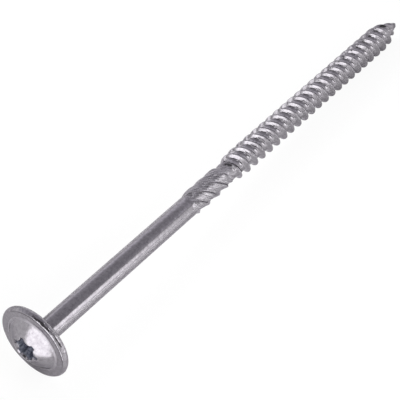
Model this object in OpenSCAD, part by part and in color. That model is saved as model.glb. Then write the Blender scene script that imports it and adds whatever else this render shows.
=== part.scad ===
// Washer head wood screw, cold formed from one piece of steel wire.
// A wide flat washer rim with a raised dome and a six-lobe drive recess, a plain shank,
// a spiral-ribbed cutter, and a coarse right-hand wood thread that runs out to the point.
// The screw is drawn along +Z, with the bearing face at z = 0, and then laid on its side:
// it rests on the washer rim and on the last full turn of the thread.

/* [Head] */
// Diameter across the washer rim, mm
head_d = 20; // [18:0.5:22]
// Thickness of the washer rim, mm
rim_t = 1.9; // [1.6:0.1:2.4]
// How far the rim's edge bulges outward, mm
rim_bulge = 0.5; // [0.4:0.05:0.7]
// Diameter at which the dome rises from the flat ring, mm
dome_d = 14.6; // [13.2:0.2:15.4]
// Height of the head at the mouth of the recess, mm
head_h = 4.2; // [3.8:0.1:4.8]
// Width of the cone that strengthens the neck under the head, mm
neck_w = 1; // [0.6:0.1:1.6]

/* [Drive recess] */
// Diameter across the lobes, mm
recess_d = 6.75; // [6:0.05:7]
// Diameter between opposite hollows of the lobed wall, mm
recess_core_d = 4.85; // [4.4:0.05:5]
// Depth of the lobes below the mouth, mm
recess_depth = 3.4; // [2.8:0.1:3.6]
// Width of the bevel round the mouth, mm
mouth_bevel = 0.3; // [0.1:0.05:0.4]
// Turn of the lobes about the axis, degrees
recess_turn = 45; // [0:1:59]

/* [Shank] */
// Length from the bearing face to the point, mm
length = 160; // [140:5:200]
// Diameter of the plain shank, mm
shank_d = 5.8; // [5.6:0.1:6.2]

/* [Cutter] */
// Length of the ribbed cutter between shank and thread, mm
cutter_len = 14.8; // [12:0.2:20]
// Diameter over the ribs, mm
cutter_d = 6.8; // [6.4:0.1:7.2]
// Number of spiral ribs
cutter_ribs = 5; // [4:1:7]
// Advance of a rib in one full turn, mm
cutter_lead = 22; // [18:1:40]
// Turn of the ribs about the axis, degrees
cutter_turn = 20; // [0:1:71]

/* [Thread] */
// Length of the thread with its point, mm
thread_len = 88; // [70:1:100]
// Diameter over the thread, mm
thread_d = 7.8; // [7.6:0.1:8.8]
// Diameter of the core between the turns, mm
core_d = 5.3; // [5:0.1:5.4]
// Distance from crest to crest along the axis, mm
pitch = 3.46; // [3.3:0.01:4.4]
// Number of ridges that run side by side, so that a turn advances by as many pitches
starts = 2; // [1:1:2]
// Width of a turn at the core, mm
ridge_base = 1.3; // [1:0.1:1.8]
// Width of a turn at the crest, mm
ridge_crest = 0.26; // [0.2:0.02:0.5]
// Length of the tapered point, mm
tip_len = 9.7; // [8:0.1:13]

/* [Hidden] */
$fn = 64;
head_r = head_d / 2;
shank_r = shank_d / 2;
core_r = core_d / 2;
thread_h = (thread_d - core_d) / 2;
edge_r = (pow(rim_bulge, 2) + pow(rim_t / 2, 2)) / (2 * rim_bulge);
mouth_r = recess_d / 2 + mouth_bevel;
thread_from = length - thread_len;
thread_to = length - tip_len;
shank_len = thread_from - cutter_len;

// The dome is part of a ball whose centre lies on the axis below the head.
dome_rise = head_h - rim_t;
dome_ball_z = (pow(dome_d / 2, 2) - pow(mouth_r, 2) - pow(dome_rise, 2)) / (2 * dome_rise);
dome_ball_r = sqrt(pow(dome_d / 2, 2) + pow(dome_ball_z, 2));

// The hollows of the recess wall are arcs of this radius, and its floor is a cone.
hollow_r = recess_core_d * 0.286;
floor_h = recess_core_d / 2 * tan(30);

// Lying on a floor, the axis drops toward the point by this angle.
rest_run = rim_t / 2 + thread_to;
rest_drop = head_r - edge_r - thread_d / 2;
rest_tilt = atan(rest_drop / rest_run) + asin(edge_r / norm([rest_run, rest_drop]));

// Fineness of the cutter and of the thread.
cutter_rings = 24;
rib_points = 10;
turn_points = 30;
overlap = 0.6;

// The round profile of head and shank: half of the section along the axis.
module head_profile() {
    translate([0, -rim_t])
        square([head_r - rim_bulge, rim_t]);
    intersection() {
        translate([head_r - edge_r, -rim_t / 2])
            circle(edge_r);
        translate([0, -rim_t])
            square([head_r, rim_t]);
    }
    intersection() {
        translate([0, dome_ball_z - rim_t])
            circle(dome_ball_r);
        translate([0, -2 * head_h])
            square([dome_d, 2 * head_h - rim_t / 2]);
    }
    polygon([
        [0, -rim_t / 2],
        [shank_r + neck_w, -rim_t / 2],
        [shank_r + neck_w, 0],
        [shank_r, neck_w * 1.6],
        [shank_r, shank_len],
        [0, shank_len]
    ]);
}

// Six lobes left between six round hollows in the wall.
module lobes() {
    difference() {
        circle(recess_d / 2);
        for (k = [0:5])
            rotate(30 + 60 * k)
                translate([recess_core_d / 2 + hollow_r, 0])
                    circle(hollow_r);
    }
}

module recess() {
    rotate(recess_turn)
        translate([0, 0, -head_h - 1])
            linear_extrude(recess_depth + 1)
                lobes();
    translate([0, 0, recess_depth - head_h - 0.01])
        cylinder(h = floor_h, r1 = recess_core_d / 2 - 0.05, r2 = 0);
    // Toward the mouth the lobes widen like a cone.
    flare = 1 + (1 + mouth_bevel) / (recess_d / 2);
    rotate(recess_turn)
        translate([0, 0, -head_h - 1])
            linear_extrude(1 + mouth_bevel, scale = 1 / flare)
                scale(flare)
                    lobes();
}

// The ribs swell from the shank, run on at full height, and sink again before the thread.
// Each one rises gently on the side toward the head and falls steeply toward the point,
// and the hollows between them deepen from the shank to the core.
function swell(z) = max(0, min(1, min(z, cutter_len - z) / (cutter_len * 0.12)));
function rib(v) = v < 0.2 ? v / 0.2 : pow(max(0, 0.9 - v) / 0.7, 1.3);
function hollow(z) = core_r * (1.06 - 0.08 * z / cutter_len);
function rib_r(k, z) = hollow(z) + (cutter_d / 2 - hollow(z)) * swell(z) * rib(k - floor(k));
function cutter_ring(z) =
    [for (k = [0:cutter_ribs * rib_points - 1])
        let (r = rib_r(k / rib_points, z),
             a = 360 * (k / rib_points / cutter_ribs + z / cutter_lead) - cutter_turn)
        [r * cos(a), r * sin(a), shank_len + z]];

module cutter() {
    n = cutter_ribs * rib_points;
    levels = [for (k = [0:cutter_rings]) -overlap + (cutter_len + overlap) * k / cutter_rings];
    points = [for (z = levels) each cutter_ring(z)];
    sides = [for (i = [0:cutter_rings - 1], k = [0:n - 1])
        let (a = i * n + k, b = i * n + (k + 1) % n)
        each [[a, b + n, b], [a, a + n, b + n]]];
    ends = [[for (k = [0:n - 1]) k], [for (k = [n - 1:-1:0]) cutter_rings * n + k]];
    polyhedron(points, concat(sides, ends));
}

// Radius of the core and height of a ridge at a place along the axis.
function core_at(z) = core_r * pow(min(1, max(0.02, (length - z) / tip_len)), 0.55);
function height_at(z) =
    let (start = max(0, min(1, (z - thread_from) / (pitch * 1.6))),
         end = pow(max(0.02, min(1, (length - z) / (tip_len * 0.8))), 1.5))
    thread_h * start * end;

// The thread is one long strip carried round along the helix: four points across each ridge.
module thread() {
    n = turn_points;
    lead = pitch * starts;
    m = 4 * starts;
    from = thread_from - lead - pitch;
    steps = floor((length - 0.3 - from - (starts - 1) * pitch) / lead * n);
    turn0 = -360 * (thread_to - from) / lead;
    across = [-ridge_base / 2, -ridge_crest / 2, ridge_crest / 2, ridge_base / 2];
    strip = [for (i = [0:steps], j = [0:m - 1])
        let (a = turn0 + 360 * i / n,
             mid = from + lead * i / n + pitch * floor(j / 4),
             z = min(mid + across[j % 4], length - 0.2),
             crest = j % 4 == 1 || j % 4 == 2,
             r = core_at(z) + (crest ? height_at(mid) : 0))
        [r * cos(a), r * sin(a), z]];
    points = concat(strip, [[0, 0, from - ridge_base / 2], [0, 0, length]]);
    start = len(strip);
    tip = start + 1;
    along = [for (i = [0:steps - 1], j = [0:m - 2])
        let (a = m * i + j, b = a + m)
        each [[a, a + 1, b + 1], [a, b + 1, b]]];
    between = [for (i = [0:steps - n - 1])
        let (a = m * i + m - 1, b = m * (i + n))
        each [[a, b, b + m], [a, b + m, a + m]]];
    start_loop = concat([for (i = [0:n]) m * i], [for (j = [m - 1:-1:1]) j]);
    end_loop = concat([for (i = [steps - n:steps]) m * i + m - 1], [for (j = [m - 2:-1:0]) m * steps + j]);
    caps = concat(
        [for (k = [0:len(start_loop) - 1])
            [start, start_loop[k], start_loop[(k + 1) % len(start_loop)]]],
        [for (k = [0:len(end_loop) - 1])
            [tip, end_loop[(k + 1) % len(end_loop)], end_loop[k]]]);
    polyhedron(points, concat(along, between, caps));
}

module screw() {
    color("#a6a3a9")
        rotate([0, 90 + rest_tilt, 0]) {
            difference() {
                rotate_extrude()
                    head_profile();
                recess();
            }
            cutter();
            thread();
        }
}

screw();
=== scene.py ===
from math import acos, asin, atan, atan2, ceil, cos, degrees, floor, hypot, pi, radians, sin, sqrt

import bmesh
import bpy
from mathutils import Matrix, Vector


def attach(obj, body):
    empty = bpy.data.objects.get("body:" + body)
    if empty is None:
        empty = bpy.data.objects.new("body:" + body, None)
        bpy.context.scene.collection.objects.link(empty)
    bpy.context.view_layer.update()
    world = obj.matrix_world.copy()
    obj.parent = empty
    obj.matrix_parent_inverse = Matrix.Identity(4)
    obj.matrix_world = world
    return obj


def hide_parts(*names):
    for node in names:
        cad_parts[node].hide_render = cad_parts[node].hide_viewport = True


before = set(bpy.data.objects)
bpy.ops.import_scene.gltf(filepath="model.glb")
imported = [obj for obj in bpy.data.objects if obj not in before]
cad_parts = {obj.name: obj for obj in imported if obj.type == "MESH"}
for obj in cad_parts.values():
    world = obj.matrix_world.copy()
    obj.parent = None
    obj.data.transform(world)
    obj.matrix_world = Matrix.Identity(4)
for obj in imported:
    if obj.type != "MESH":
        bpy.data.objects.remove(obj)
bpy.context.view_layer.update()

# The blank of the screw: washer rim, dome, six-lobe drive recess, neck and plain shank.
# Steel wire is upset and forged into this shape in one stroke, and the recess is punched.
# It is drawn along +Z from the floor of the recess outwards, ring by ring, as on a lathe.
MM = 0.001
head_r = 10.0
rim_r = head_r - 0.02  # keeps the smooth rim inside the faceted solid
rim_t = 1.9
rim_bulge = 0.5
edge_r = (rim_bulge ** 2 + (rim_t / 2) ** 2) / (2 * rim_bulge)
dome_r = 7.3
head_h = 4.2
neck_w = 1.0
shank_r = 2.9
recess_r = 3.375
recess_core_r = 2.425
recess_depth = 3.4
recess_turn = 45.0
mouth_bevel = 0.3
length = 160.0
thread_from = 72.0
cutter_len = 14.8
shank_len = thread_from - cutter_len

mouth_r = recess_r + mouth_bevel
floor_h = recess_core_r * 0.57735
floor_z = recess_depth - head_h
hollow_r = recess_core_r * 0.572
hollow_at = recess_core_r + hollow_r
dome_rise = head_h - rim_t
ball_z = (dome_r ** 2 - mouth_r ** 2 - dome_rise ** 2) / (2 * dome_rise)
ball_r = hypot(dome_r, ball_z)


def lobe_r(a):
    """Distance of the recess wall from the axis: a circle with six round hollows pressed into it."""
    off = (degrees(a) - recess_turn) % 60 - 30
    across = hollow_at * cos(radians(off))
    reach = hollow_r ** 2 - hollow_at ** 2 + across ** 2
    return min(recess_r, across - sqrt(reach)) if reach > 0 else recess_r


def dome_z(r):
    """Height of the dome at a distance from the axis."""
    return ball_z - rim_t - sqrt(ball_r ** 2 - r ** 2)


def on_dome(r):
    return r, dome_z(r)


def flare(a, share):
    """A place on the widening mouth of the recess, from the wall (0) to the edge of the dome (1)."""
    wall, rise = lobe_r(a), 0.0
    for _ in range(8):  # the mouth ends where it meets the dome, which a few repeats find
        rise = -head_h - dome_z(wall * (1 + (mouth_bevel + rise) / recess_r))
    up = (mouth_bevel + rise) * share
    return wall * (1 + up / recess_r), mouth_bevel - head_h - up


def soft_corner(a, b, c, parts):
    """Points of a rounded corner from a over b to c, without its first point."""
    steps = [k / parts for k in range(1, parts + 1)]
    return [tuple((1 - t) ** 2 * p + 2 * t * (1 - t) * q + t * t * r for p, q, r in zip(a, b, c))
            for t in steps]


def draw_ring(blank, place, turn=0.0):
    """Extrudes the open edge of the blank and sets the new ring to its radius and height at each angle."""
    bpy.ops.mesh.extrude_region_move()
    mesh = bmesh.from_edit_mesh(blank.data)
    for v in mesh.verts:
        if v.select:
            a = atan2(v.co.y, v.co.x) + turn
            r, z = place(a)
            v.co = (r * cos(a) * MM, r * sin(a) * MM, z * MM)
    bmesh.update_edit_mesh(blank.data)


# The conical floor of the recess is the start; only its open edge is selected.
bpy.ops.object.select_all(action="DESELECT")
bpy.ops.mesh.primitive_cone_add(vertices=240, radius1=(recess_core_r - 0.05) * MM, radius2=0,
                                depth=floor_h * MM, end_fill_type="NOTHING",
                                location=(0, 0, (floor_z + floor_h / 2) * MM))
screw = bpy.context.object
screw.name = "zinc_plated_screw"
bpy.ops.object.transform_apply(location=True, rotation=True, scale=True)
bpy.ops.object.mode_set(mode="EDIT")
bpy.ops.mesh.select_all(action="DESELECT")
bpy.ops.mesh.select_mode(type="VERT")
mesh = bmesh.from_edit_mesh(screw.data)
for v in mesh.verts:
    v.select = hypot(v.co.x, v.co.y) > MM
mesh.select_flush(True)
bmesh.update_edit_mesh(screw.data)

# Up the lobed wall of the recess and over its rounded edge to the mouth.
for off_wall, z in ((-0.12, floor_z), (-0.03, floor_z - 0.03), (0, floor_z - 0.14),
                    (0, floor_z - recess_depth * 0.4), (0, mouth_bevel + 0.1 - head_h)):
    draw_ring(screw, lambda a: (lobe_r(a) + off_wall, z))
for share in (0.1, 0.8, 0.96):
    draw_ring(screw, lambda a: flare(a, share))
draw_ring(screw, lambda a: on_dome(flare(a, 1)[0] + 0.06))
draw_ring(screw, lambda a: on_dome(flare(a, 1)[0] * 0.5 + mouth_r * 0.5 + 0.1))

# Over the dome, the flat ring and the bulging rim, then under the head to the neck and the shank.
# Narrow rings beside each corner keep the shading of the flat faces flat.
dome = [on_dome(mouth_r + 0.2 + (dome_r - mouth_r - 0.4) * k / 16) for k in range(17)]
ring_r = rim_r - rim_bulge
turn_in = acos(rim_t / 2 / edge_r)
bends = [turn_in + (pi - 2 * turn_in) * k / 24 for k in range(25)]
rim = [(rim_r - edge_r + edge_r * sin(b), -rim_t / 2 - edge_r * cos(b)) for b in bends]
neck_r = shank_r + neck_w
profile = dome + soft_corner(dome[-1], (dome_r, -rim_t), (dome_r + 0.28, -rim_t), 5)
profile += [(dome_r + 0.34, -rim_t), (ring_r - 0.1, -rim_t), (ring_r - 0.04, -rim_t)]
profile += soft_corner((ring_r - 0.04, -rim_t), rim[0], rim[1], 2) + rim[2:-2]
profile += soft_corner(rim[-2], rim[-1], (ring_r - 0.04, 0.0), 2) + [(ring_r - 0.1, 0.0)]
profile += [(ring_r - 0.5, 0.0), (neck_r + 0.5, 0.0)]
profile += soft_corner((neck_r + 0.2, 0.0), (neck_r, 0.0), (neck_r - 0.12, 0.2), 4)
profile += soft_corner((shank_r + 0.3, 1.1), (shank_r, neck_w * 1.6), (shank_r, 2.2), 5)
profile += [(shank_r, 2.2 + (shank_len - 2.9) * k / 8) for k in range(1, 9)]
for step in profile:
    draw_ring(screw, lambda a: step)

# The cutter: five spiral ribs rolled into the shank, which ream the hole for it.
# Each rib rises steeply on one side and falls gently, and its edge is slightly rounded.
core_r = 2.65
cutter_r = 3.4
cutter_ribs = 5
cutter_lead = 22.0
cutter_turn = 20.0
cutter_rings = 64


def rib(v):
    """Height of a sharp rib, from 0 to 1, at a share of the way to the next one."""
    v = v - floor(v)
    return v / 0.2 if v < 0.2 else (max(0.0, 0.9 - v) / 0.7) ** 1.3


def rolled_rib(v):
    """The same rib with its edge rounded, as the mean of the heights close by."""
    return sum(rib(v + d / 100) for d in (-6, -4, -2, 0, 2, 4, 6)) / 7


def cutter_radius(z):
    """Radius of the ribbed section at a height above the shank's end, as a function of the angle."""
    hollow = core_r * (1.06 - 0.08 * z / cutter_len)
    swell = max(0.0, min(1.0, min(z, cutter_len - z) / (cutter_len * 0.12)))
    swell = swell * swell * (3 - 2 * swell)
    tall = (cutter_r - hollow) * swell
    plain = max(0.0, 1 - z / 0.6) * (shank_r - hollow)
    spiral = cutter_turn - 360 * z / cutter_lead
    return lambda a: hollow + plain + tall * rolled_rib((degrees(a) + spiral) * cutter_ribs / 360)


for k in range(1, cutter_rings + 1):
    z = cutter_len * k / cutter_rings
    section = cutter_radius(z)
    draw_ring(screw, lambda a: (section(a), shank_len + z), radians(360 * cutter_len / cutter_rings / cutter_lead))
draw_ring(screw, lambda a: (core_r * 0.5, thread_from))
bpy.ops.mesh.edge_face_add()
bpy.ops.mesh.select_all(action="SELECT")
bpy.ops.mesh.normals_make_consistent(inside=False)
bpy.ops.object.mode_set(mode="OBJECT")

# The thread: two right-hand ridges side by side, rolled out of the core between two dies.
# They grow behind the cutter, keep their height, and run out on the tapered point.
thread_h = 1.25
pitch = 3.46
starts = 2
tip_len = 9.7
thread_to = length - tip_len
lead = pitch * starts
core_from = thread_from - 10.0

# Half of a ridge from the hollow root over the straight flank to the rounded crest: along the axis, up.
half_ridge = [(-pitch / 2, 0.0), (-1.5, 0.012), (-1.28, 0.043), (-1.08, 0.09), (-0.9, 0.155),
              (-0.78, 0.23), (-0.7, 0.305), (-0.645, 0.385), (-0.6, 0.4615), (-0.24, 1.0735),
              (-0.195, 1.15), (-0.145, 1.208), (-0.075, 1.238), (0.0, thread_h - 0.005)]
ridge = half_ridge + [(-z, h) for z, h in half_ridge[-2::-1]]
first = thread_to - pitch * (ceil((thread_to - core_from) / pitch) + starts + 1)
path = [(first + pitch * k + z, core_r + h) for k in range(starts) for z, h in ridge[k > 0:]]

bpy.ops.object.select_all(action="DESELECT")
bpy.ops.mesh.primitive_plane_add(size=MM)
thread = bpy.context.object
bpy.ops.object.mode_set(mode="EDIT")
bpy.ops.mesh.merge(type="CENTER")
bpy.ops.transform.translate(value=(path[0][1] * MM, 0, path[0][0] * MM))
for (z0, r0), (z1, r1) in zip(path, path[1:]):
    bpy.ops.mesh.extrude_region_move(TRANSFORM_OT_translate={"value": ((r1 - r0) * MM, 0, (z1 - z0) * MM)})
bpy.ops.object.mode_set(mode="OBJECT")
bpy.ops.object.modifier_add(type="SCREW")
sweep = thread.modifiers[-1]
sweep.axis = "Z"
sweep.angle = 2 * pi
sweep.screw_offset = lead * MM
sweep.iterations = ceil((length - first) / lead) + 1
sweep.steps = sweep.render_steps = 90
bpy.ops.object.modifier_apply(modifier=sweep.name)

# The plain sweep is brought to the height that the ridges have at each place, and closed at both ends.
for v in thread.data.vertices:
    z, r, a = v.co.z / MM, hypot(v.co.x, v.co.y) / MM, atan2(v.co.y, v.co.x)
    left = (length - z) / tip_len
    grown = max(0.0, min(1.0, (z - thread_from) / (pitch * 1.6)))
    run_out = max(0.0, min(1.0, left / 0.8)) ** 1.2
    r = core_r * max(0.0, min(1.0, left)) ** 0.55 + (r - core_r) * grown * run_out
    if z < core_from:
        r, z = 0.0, core_from
    v.co = (r * cos(a) * MM, r * sin(a) * MM, min(z, length - 0.01) * MM)
bpy.ops.object.mode_set(mode="EDIT")
bpy.ops.mesh.select_all(action="SELECT")
bpy.ops.mesh.remove_doubles(threshold=0.002 * MM)
bpy.ops.mesh.dissolve_degenerate(threshold=0.001 * MM)
bpy.ops.mesh.normals_make_consistent(inside=False)
bpy.ops.object.mode_set(mode="OBJECT")

# Blank and thread are one piece of steel, so they become one skin.
# It is laid on its side, where it rests on the washer rim and on the last full turn.
bpy.ops.object.select_all(action="DESELECT")
screw.select_set(True)
bpy.context.view_layer.objects.active = screw
bpy.ops.object.modifier_add(type="BOOLEAN")
weld = screw.modifiers[-1]
weld.operation = "UNION"
weld.solver = "EXACT"
weld.object = thread
bpy.ops.object.modifier_apply(modifier=weld.name)
bpy.data.objects.remove(thread)
bpy.ops.object.mode_set(mode="EDIT")
bpy.ops.mesh.select_all(action="SELECT")
bpy.ops.mesh.remove_doubles(threshold=0.001 * MM)
bpy.ops.object.mode_set(mode="OBJECT")
rest_run = rim_t / 2 + thread_to
rest_drop = head_r - edge_r - core_r - thread_h
rest_tilt = atan(rest_drop / rest_run) + asin(edge_r / hypot(rest_run, rest_drop))
screw.rotation_euler = (0, pi / 2 + rest_tilt, 0)
bpy.ops.object.transform_apply(location=True, rotation=True, scale=True)
bpy.ops.object.shade_smooth_by_angle(angle=radians(32))
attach(screw, "root")
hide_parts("screw")


# Bright zinc plate on steel: a thin, pale grey metal film with a faint violet cast from its
# clear passivation. It mirrors softly, is cloudy in patches, and keeps the marks of the dies.
# Its colour also holds painted highlights in the recess and on the cutter's ribs, and painted shade at the point.
def linear(colour):
    """A colour from its sRGB hex value, as Blender's sockets take it."""
    parts = [int(colour[k:k + 2], 16) / 255 for k in (1, 3, 5)]
    return (*[p / 12.92 if p <= 0.04045 else ((p + 0.055) / 1.055) ** 2.4 for p in parts], 1.0)


def node(tree, kind, settings=None, **links):
    """Adds a node, sets its properties or sockets, and links other nodes' sockets to its inputs.
    A socket is named by its name, or by its number: "7" in the settings, i7 in the links."""
    made = tree.nodes.new(kind)
    for name, value in (settings or {}).items():
        if name in made.inputs:
            made.inputs[name].default_value = value
        elif name.isdigit():
            made.inputs[int(name)].default_value = value
        else:
            setattr(made, name, value)
    for name, source in links.items():
        numbered = name[0] == "i" and name[1:].isdigit()
        tree.links.new(source, made.inputs[int(name[1:]) if numbered else name.replace("_", " ")])
    return made


zinc = bpy.data.materials.new("bright_zinc_plate")
zinc.use_nodes = True
tree = zinc.node_tree
tree.nodes.clear()

# Places on the screw: along its axis, away from the axis, and round it beside a rib of the cutter.
place = node(tree, "ShaderNodeTexCoord").outputs["Object"]
along = node(tree, "ShaderNodeMapping", {"Rotation": (0, -rest_tilt, 0)}, Vector=place).outputs["Vector"]
spot = node(tree, "ShaderNodeSeparateXYZ", None, Vector=along).outputs
axis_x = spot["X"]
across = node(tree, "ShaderNodeVectorMath", {"operation": "MULTIPLY", "1": (0, 1, 1)}, i0=along).outputs["Vector"]
radius = node(tree, "ShaderNodeVectorMath", {"operation": "LENGTH"}, i0=across).outputs["Value"]
down = node(tree, "ShaderNodeMath", {"operation": "MULTIPLY", "1": -1.0}, i0=spot["Z"]).outputs[0]
angle = node(tree, "ShaderNodeMath", {"operation": "ARCTAN2"}, i0=spot["Y"], i1=down).outputs[0]
turned = node(tree, "ShaderNodeMath", {"operation": "MULTIPLY", "1": 2 * pi / (cutter_lead * MM)}, i0=axis_x).outputs[0]
off_rib = node(tree, "ShaderNodeMath", {"operation": "SUBTRACT"}, i0=angle, i1=turned).outputs[0]
rib_place = node(tree, "ShaderNodeCombineXYZ", None, X=off_rib, Y=turned).outputs["Vector"]
rib_place = node(tree, "ShaderNodeMapping", {"Scale": (1, 0.12, 1)}, Vector=rib_place).outputs["Vector"]
drawn = node(tree, "ShaderNodeMapping", {"Scale": (0.03, 1, 1)}, Vector=along).outputs["Vector"]

# Patterns and their size in mm. Real plating grain and drawing lines are some hundredths of a millimetre
# wide and would not show, so they are drawn coarser. Rolling marks lie on angles, 3.1 mm from the axis.
pattern = {}
for name, size, detail, uneven, where in (("clouds", 0.9 * MM, 3.0, 0.7, along),
                                          ("grain", 0.6 * MM, 2.0, 0.5, along),
                                          ("waves", 2.2 * MM, 2.0, 0.5, along),
                                          ("knocks", 1.6 * MM, 2.0, 0.5, along),
                                          ("drawing_lines", 0.5 * MM, 2.0, 0.5, drawn),
                                          ("rolling_marks", 0.45 / 3.1, 2.0, 0.6, rib_place)):
    pattern[name] = node(tree, "ShaderNodeTexNoise", {"Scale": 1 / size, "Detail": detail, "Roughness": uneven},
                         Vector=where).outputs["Fac"]

# Where each finish begins and ends, in mm along the axis or away from it, and its share on both sides.
share = {}
for name, source, low, high, at_low, at_high in (
        ("rolled", axis_x, shank_len - 2, shank_len + 2, 0.35, 1),
        ("cutter_start", axis_x, shank_len - 1, shank_len + 1, 0, 1),
        ("cutter_end", axis_x, thread_from, thread_from + 3, 1, 0),
        ("threaded", axis_x, thread_from, thread_from + 3, 0, 1),
        # This share darkens the point with painted shade.
        ("tip", axis_x, 156.6, 158.2, 0, 1),
        ("worn_rim", radius, 9.2, 9.6, 0, 1),
        ("foot_from", radius, 7.0, 7.2, 0, 1),
        ("foot_to", radius, 7.6, 7.8, 1, 0),
        ("recess_wall", radius, 3.35, 3.6, 1, 0),
        ("recess_mouth", axis_x, -4.2, -3.8, 0, 1),
        ("recess_floor", axis_x, -0.5, 0, 1, 0)):
    share[name] = node(tree, "ShaderNodeMapRange",
                       {"interpolation_type": "SMOOTHSTEP", "From Min": low * MM, "From Max": high * MM,
                        "To Min": at_low, "To Max": at_high}, Value=source).outputs["Result"]
# The light spots in the recess and the light streaks on the cutter's ribs are painted highlights; the specks on the
# thread are a lighter tone.
for name, source, low, high, most in (("painted_recess_glints", "grain", 0.42, 0.62, 1.0),
                                      ("specks", "grain", 0.5, 0.68, 0.3),
                                      ("streaks", "rolling_marks", 0.46, 0.62, 0.65)):
    share[name] = node(tree, "ShaderNodeMapRange", {"From Min": low, "From Max": high, "To Max": most},
                       Value=pattern[source]).outputs["Result"]
for name, one, other in (("ribbed", "cutter_start", "cutter_end"),
                         ("dome_foot", "foot_from", "foot_to"),
                         ("recess_depth", "recess_mouth", "recess_floor"),
                         ("punched", "recess_wall", "recess_depth"),
                         ("painted_rib_highlights", "streaks", "ribbed"),
                         ("thread_specks", "specks", "threaded")):
    share[name] = node(tree, "ShaderNodeMath", {"operation": "MULTIPLY"}, i0=share[one], i1=share[other]).outputs[0]

# Colour: cloudy zinc, bluer in the punched recess with painted highlights as light spots, painted shade darkening the
# point, painted highlights as light streaks on the cutter's ribs, and lighter specks on the thread.
clouds = node(tree, "ShaderNodeValToRGB", None, Fac=pattern["clouds"])
clouds.color_ramp.elements[0].position = 0.3
clouds.color_ramp.elements[0].color = linear("#8b878d")
clouds.color_ramp.elements[1].position = 0.7
clouds.color_ramp.elements[1].color = linear("#a5a2a7")
# The recess is bluer, with painted highlights as light spots on its walls.
recess_blue_and_glints = node(tree, "ShaderNodeMix", {"data_type": "RGBA", "6": linear("#8b8f9d"), "7": linear("#d3d5dd")},
            i0=share["painted_recess_glints"]).outputs[2]
tone = node(tree, "ShaderNodeMix", {"data_type": "RGBA"}, i0=share["punched"], i6=clouds.outputs["Color"],
            i7=recess_blue_and_glints).outputs[2]
# Painted shade darkens the point, painted highlights lie as light streaks on the ribs, and the thread has lighter
# specks.
for where, colour in (("tip", "#6e6b71"), ("painted_rib_highlights", "#c9c6cb"), ("thread_specks", "#c9c6cb")):
    tone = node(tree, "ShaderNodeMix", {"data_type": "RGBA", "7": linear(colour)}, i0=share[where], i6=tone).outputs[2]

# Roughness: bright plate, dull in the punched recess and in the corner at the foot of the dome.
rough = node(tree, "ShaderNodeMapRange", {"From Min": 0.3, "From Max": 0.7, "To Min": 0.11, "To Max": 0.19},
             Value=pattern["grain"]).outputs["Result"]
for where, value in (("punched", 0.5), ("ribbed", 0.19), ("dome_foot", 0.45)):
    rough = node(tree, "ShaderNodeMix", {"data_type": "FLOAT", "3": value}, i0=share[where], i2=rough).outputs[0]

# Relief, with its depth in mm: waves and lines from drawing and rolling, marks on the ribs, a knocked rim, grain.
normal = {}
for relief, where, depth in (("waves", "rolled", 0.12), ("drawing_lines", "rolled", 0.008),
                             ("rolling_marks", "ribbed", 0.26), ("knocks", "worn_rim", 0.3),
                             ("grain", None, 0.008), ("grain", "threaded", 0.016)):
    height = pattern[relief]
    if where:
        height = node(tree, "ShaderNodeMath", {"operation": "MULTIPLY"}, i0=height, i1=share[where]).outputs[0]
    bump = node(tree, "ShaderNodeBump", {"Strength": 1.0, "Distance": depth * MM}, Height=height, **normal)
    normal = {"Normal": bump.outputs["Normal"]}

# The tint keeps edges that are seen at a flat angle from turning white.
metal = node(tree, "ShaderNodeBsdfPrincipled", {"Metallic": 1.0, "Specular Tint": linear("#cfcdd1")},
             Base_Color=tone, Roughness=rough, **normal)
node(tree, "ShaderNodeOutputMaterial", None, Surface=metal.outputs["BSDF"])
screw.data.materials.clear()
screw.data.materials.append(zinc)

# The stage: a sheet of white paper as the floor, which shows white and keeps a soft shadow.
# It ends a little left of the head, so that the dome sees the whole of the panel on that side.
paper_size = 1.0
paper_left = -0.014
floor_level = -(head_r - edge_r) * cos(rest_tilt) + rim_t / 2 * sin(rest_tilt) - edge_r
bpy.ops.mesh.primitive_plane_add(size=paper_size, location=(paper_left + paper_size / 2, 0, floor_level * MM))
paper = bpy.context.object
paper.name = "paper_floor"
white = bpy.data.materials.new("white_paper")
white.use_nodes = True
tree = white.node_tree
tree.nodes.clear()
rays = node(tree, "ShaderNodeLightPath").outputs
seen = node(tree, "ShaderNodeMath", {"operation": "MULTIPLY", "1": 0.92}, i0=rays["Is Camera Ray"]).outputs[0]
mirror = node(tree, "ShaderNodeMath", {"operation": "MAXIMUM"}, i0=rays["Is Glossy Ray"],
              i1=rays["Is Transmission Ray"]).outputs[0]
mirrored = node(tree, "ShaderNodeMath", {"operation": "MULTIPLY", "1": 0.15}, i0=mirror).outputs[0]
shown = node(tree, "ShaderNodeMath", {"operation": "MAXIMUM"}, i0=seen, i1=mirrored).outputs[0]
dull = node(tree, "ShaderNodeBsdfDiffuse", {"Color": linear("#d2d2d2")}).outputs[0]
glow = node(tree, "ShaderNodeEmission", {"Color": linear("#ffffff"), "Strength": 1.0}).outputs[0]
both = node(tree, "ShaderNodeMixShader", None, i0=shown, i1=dull, i2=glow).outputs[0]
node(tree, "ShaderNodeOutputMaterial", None, Surface=both)
paper.data.materials.append(white)

world = bpy.data.worlds.new("white_studio")
bpy.context.scene.world = world
world.use_nodes = True
tree = world.node_tree
tree.nodes.clear()
air = node(tree, "ShaderNodeBackground", {"Color": linear("#ffffff"), "Strength": 1.0}).outputs[0]
node(tree, "ShaderNodeOutputWorld", None, Surface=air)


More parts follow.
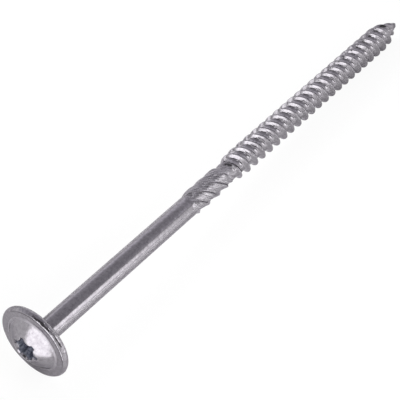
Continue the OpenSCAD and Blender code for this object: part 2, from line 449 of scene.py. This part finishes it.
# Cards and light panels stand around the screw, out of the camera's sight. The grey card overhead
# gives the metal its dark upper bands; the white panels fade toward their edges, like softboxes.
def panel(name, spot, aim, width, height, radiance, fade, on_paper=True, on_metal=True):
    """A flat panel that faces a point, with its brightness given as what a mirror would show.
    Its outer part fades out, as a share of its half width; it may leave out the paper or the metal."""
    bpy.ops.mesh.primitive_plane_add(size=1, location=[c * MM for c in spot])
    made = bpy.context.object
    made.name = name
    made.scale = (width * MM, height * MM, 1)
    made.rotation_euler = (Vector(aim) - Vector(spot)).to_track_quat("Z", "Y").to_euler()
    made.visible_camera = False
    made.visible_shadow = False
    made.visible_diffuse = on_paper
    made.visible_glossy = on_metal
    made.data.materials.append(bpy.data.materials.new(name))
    made.data.materials[0].use_nodes = True
    tree = made.data.materials[0].node_tree
    tree.nodes.clear()
    surface = node(tree, "ShaderNodeEmission", {"Color": linear("#ffffff"), "Strength": radiance}).outputs[0]
    if fade:
        sheet = node(tree, "ShaderNodeTexCoord").outputs["Object"]
        sides = node(tree, "ShaderNodeSeparateXYZ", None, Vector=sheet).outputs
        parts = []
        for side in ("X", "Y"):
            off = node(tree, "ShaderNodeMath", {"operation": "ABSOLUTE"}, i0=sides[side]).outputs[0]
            parts.append(node(tree, "ShaderNodeMapRange",
                              {"interpolation_type": "SMOOTHSTEP", "From Min": 0.5, "From Max": 0.5 - fade / 2,
                               "To Min": 0.0, "To Max": 1.0}, Value=off).outputs["Result"])
        solid = node(tree, "ShaderNodeMath", {"operation": "MULTIPLY"}, i0=parts[0], i1=parts[1]).outputs[0]
        solid = node(tree, "ShaderNodeMath", {"operation": "POWER", "1": 0.6}, i0=solid).outputs[0]
        clear = node(tree, "ShaderNodeBsdfTransparent").outputs[0]
        surface = node(tree, "ShaderNodeMixShader", None, i0=solid, i1=clear, i2=surface).outputs[0]
    node(tree, "ShaderNodeOutputMaterial", None, Surface=surface)
    return made


# The card is dark above the shank, lighter above the thread, and lighter again toward its back.
card = panel("grey_card", (80, 240, 400), (80, 240, 0), 1400, 1420, 0.5, 0.08, on_paper=False)
tree = card.data.materials[0].node_tree
spot = node(tree, "ShaderNodeNewGeometry").outputs["Position"]
spot = node(tree, "ShaderNodeSeparateXYZ", None, Vector=spot).outputs
right = node(tree, "ShaderNodeMapRange", {"From Min": 0.37, "From Max": 0.44, "To Min": 0.47, "To Max": 0.88},
             Value=spot["X"]).outputs[0]
back = node(tree, "ShaderNodeMapRange", {"From Min": 0.1, "From Max": 0.9, "To Min": 0.0, "To Max": 0.45},
            Value=spot["Y"]).outputs[0]
grey = node(tree, "ShaderNodeMath", {"operation": "ADD"}, i0=right, i1=back).outputs[0]
glow = [n for n in tree.nodes if n.type == "EMISSION"][0]
glow.inputs["Color"].default_value = linear("#f6f4fb")
tree.links.new(grey, glow.inputs["Strength"])

# The bright patch on the dome and the arcs on the thread's flanks, with the dark edges beside them.
panel("left_panel", (-600, -50, -75), (0, -50, -75), 760, 1060, 2.8, 0.3)
panel("left_flag", (-310, -80, 398), (-310, -80, 0), 620, 520, 0.1, 0.2)
# The bright band along the shank, cut off above by a grey card.
panel("right_panel", (380, -780, 380), (15, 0, 380), 440, 900, 2.6, 0.7)
panel("right_flag", (325, -546, 530), (325, 0, 530), 1150, 280, 0.5, 0, on_paper=False)
# The dark streak on the rim, and the light dots on the front of the thread.
panel("front_flag", (-14, -500, 175), (-14, 0, 175), 240, 450, 0.1, 0.2, on_paper=False)
panel("front_panel", (22, -184, 311), (0, 0, 0), 110, 110, 2.5, 0.6)
# The light edge on the far side of the thread, with a card that hides the panel's back.
panel("back_panel", (40, 85, 25), (140, 60, 25), 70, 50, 2.2, 0.4)
panel("back_flag", (39, 85.25, 25), (139, 60.25, 25), 90, 70, 0.6, 0)
# Two lamps for the paper only.
panel("back_paper_lamp", (100, 130, 90), (100, 20, -10), 120, 60, 16.0, 0.2, on_metal=False)
panel("front_paper_lamp", (35, -100, 60), (35, -100, 0), 120, 60, 12.0, 0.2, on_metal=False)

# The camera stands in front of the head on the left and looks down along the screw.
# Its place and lens are those that were fitted to the outline of the screw.
bpy.ops.object.camera_add(location=(-0.126614, -0.145027, 0.240124))
camera = bpy.context.object
camera.rotation_euler = Vector((0.5536, 0.42521, -0.71604)).to_track_quat("-Z", "Y").to_euler()
camera.data.sensor_width = 36.0
camera.data.lens = 117.0
camera.data.clip_start = 0.01
camera.data.clip_end = 20.0
bpy.context.scene.camera = camera
bpy.context.scene.view_settings.view_transform = "Standard"
